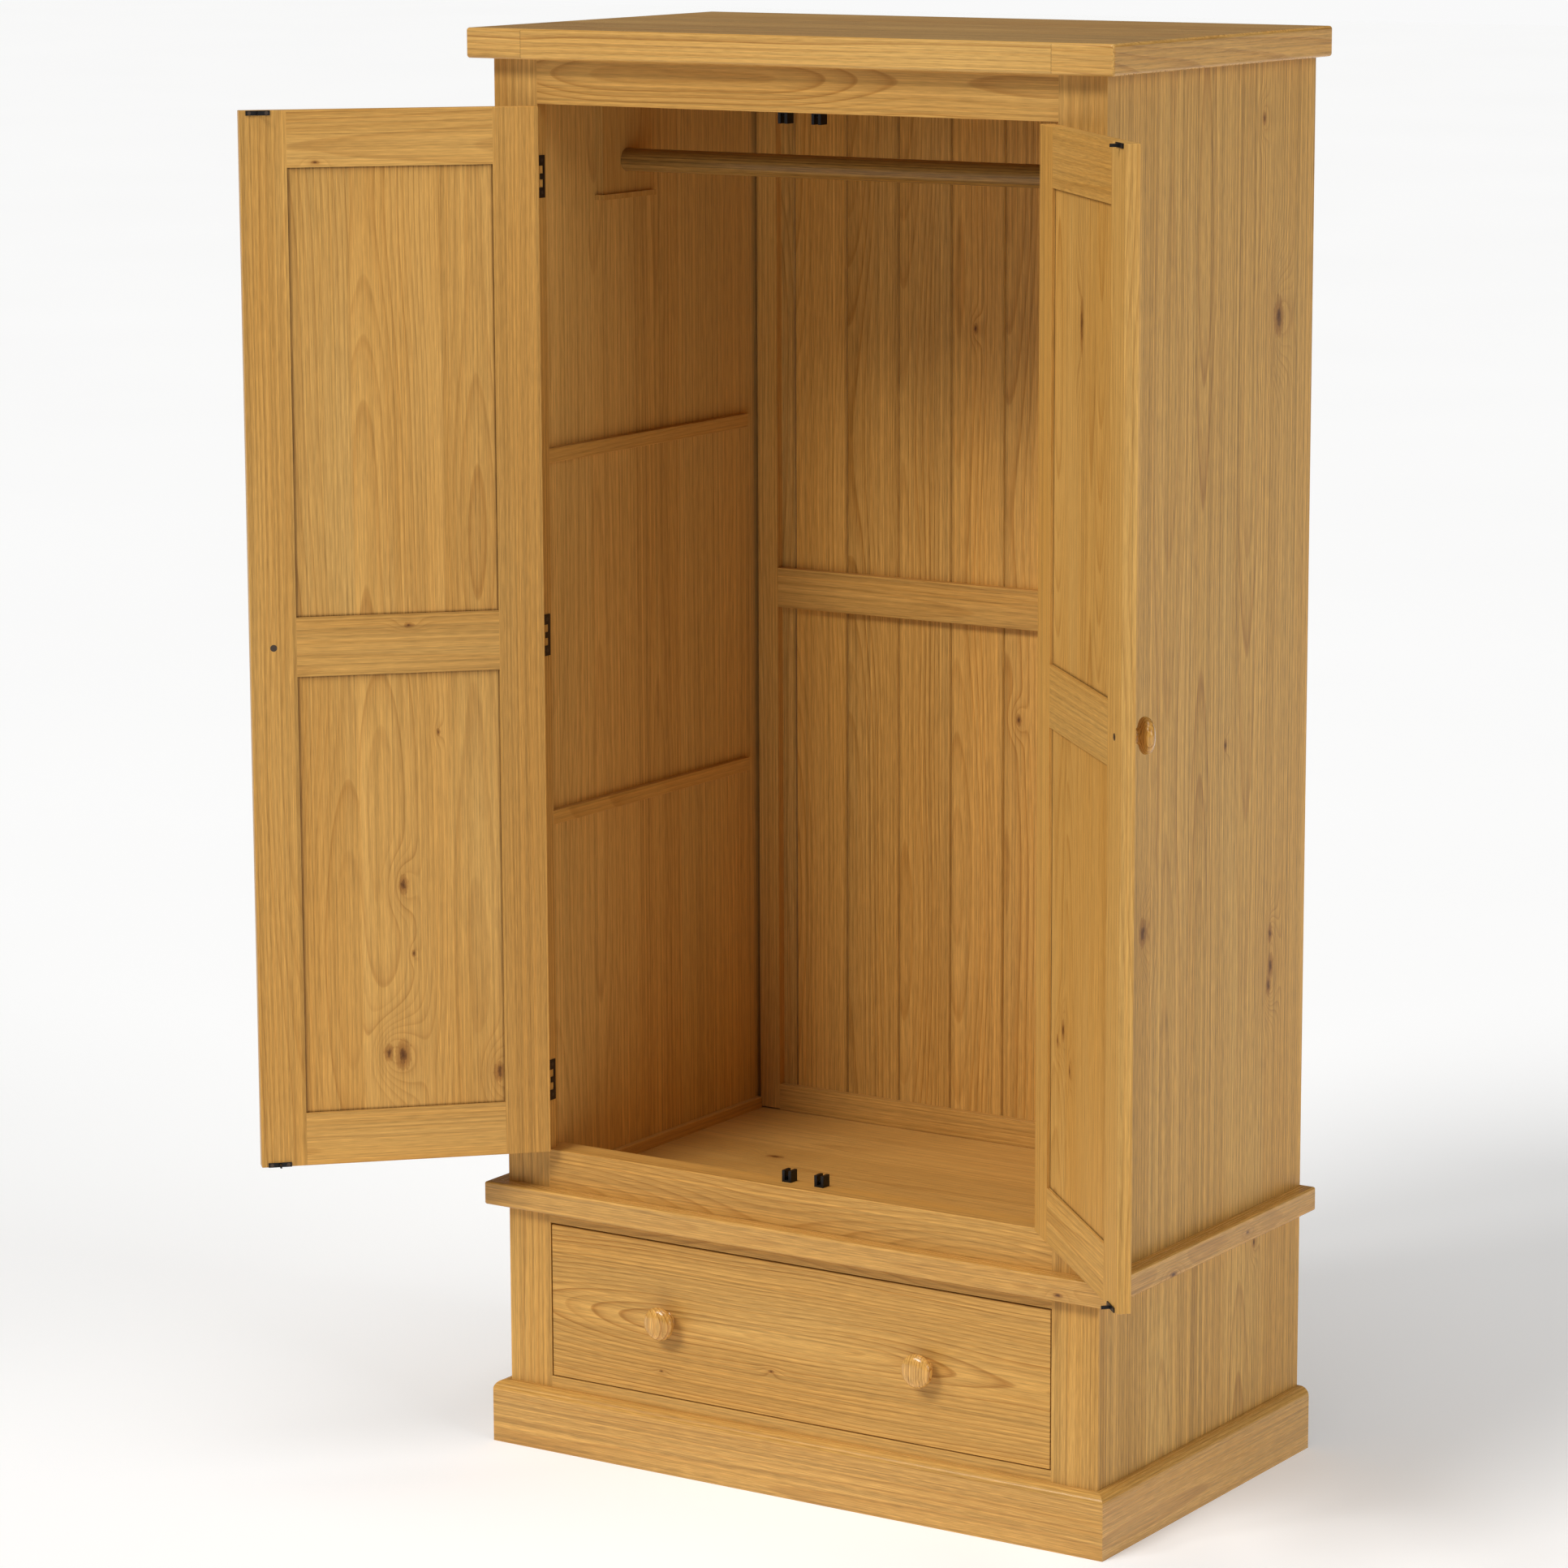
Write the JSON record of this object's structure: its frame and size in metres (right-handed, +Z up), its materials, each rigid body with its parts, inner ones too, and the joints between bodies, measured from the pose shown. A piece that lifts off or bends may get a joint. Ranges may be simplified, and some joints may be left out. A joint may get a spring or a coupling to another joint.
{
  "type": "wardrobe",
  "caption": "Pine wardrobe: framed doors over a deep drawer, hanging rail inside, tongue-and-groove back, waist moulding and round-edged plinth.",
  "frame": {"origin": "floor level, middle of the back edge, where the wardrobe meets the wall", "axes": "+Z up, +Y towards the wall, so the doors and drawer face -Y; +X to the right seen from the front"},
  "size_m": [1.3382, 0.8326, 1.9],
  "materials": {
    "pine": "honey wax, satin",
    "pine_panel": "honey wax, satin",
    "pine_inner": "honey wax, satin",
    "pine_knob": "turned and lacquered",
    "dark_metal": "dark bronze",
    "screw_metal": "dark bronze"
  },
  "bodies": {
    "carcass": {"back_boards": "pine_inner", "back_rails": "pine_inner", "back_stile_left": "pine_inner", "back_stile_right": "pine_inner", "ball_catches": "dark_metal", "cabinet_floor": "pine_inner", "catch_backings": "pine_inner", "drawer_rail": "pine", "drawer_runner_left": "pine_inner", "drawer_runner_right": "pine_inner", "frame_hinges": "dark_metal", "frame_screws": "screw_metal", "front_stile_left": "pine", "front_stile_right": "pine", "hanging_rail": "pine_inner", "head_rail": "pine", "inner_side_left": "pine_inner", "inner_side_right": "pine_inner", "outer_side_left": "pine", "outer_side_right": "pine", "plinth_back": "pine_inner", "plinth_front": "pine", "plinth_side_left": "pine", "plinth_side_right": "pine", "rail_support_left": "pine_inner", "rail_support_right": "pine_inner", "side_frames": "pine_inner", "sill_rail": "pine", "top_board": "pine", "waist_moulding": "pine", "wall_strips": "pine_inner"},
    "drawer": {"drawer_back": "pine_inner", "drawer_bottom": "pine_inner", "drawer_front": "pine", "drawer_knobs": "pine_knob", "drawer_screws": "screw_metal", "drawer_side_left": "pine_inner", "drawer_side_right": "pine_inner"},
    "left_door": {"left_door_bottom_rail": "pine", "left_door_hinge_leaves": "dark_metal", "left_door_hinge_stile": "pine", "left_door_knob": "pine_knob", "left_door_lock_stile": "pine", "left_door_lower_panel": "pine_panel", "left_door_middle_rail": "pine", "left_door_screws": "screw_metal", "left_door_strikers": "dark_metal", "left_door_top_rail": "pine", "left_door_upper_panel": "pine_panel"},
    "right_door": {"right_door_bottom_rail": "pine", "right_door_hinge_leaves": "dark_metal", "right_door_hinge_stile": "pine", "right_door_knob": "pine_knob", "right_door_lock_stile": "pine", "right_door_lower_panel": "pine_panel", "right_door_middle_rail": "pine", "right_door_screws": "screw_metal", "right_door_strikers": "dark_metal", "right_door_top_rail": "pine", "right_door_upper_panel": "pine_panel"}
  },
  "joints": [
    {"name": "left_door_hinge", "type": "hinge", "parent": "carcass", "child": "left_door", "pos_m": [-0.38725, -0.545, 1.10925], "axis": [0, 0, -1], "range_deg": [-135, 40]},
    {"name": "right_door_hinge", "type": "hinge", "parent": "carcass", "child": "right_door", "pos_m": [0.38725, -0.545, 1.10925], "axis": [0, 0, 1], "range_deg": [-135, 40]},
    {"name": "drawer_slide", "type": "slide", "parent": "carcass", "child": "drawer", "axis": [0, -1, 0], "range_m": [0, 0.38]}
  ]
}
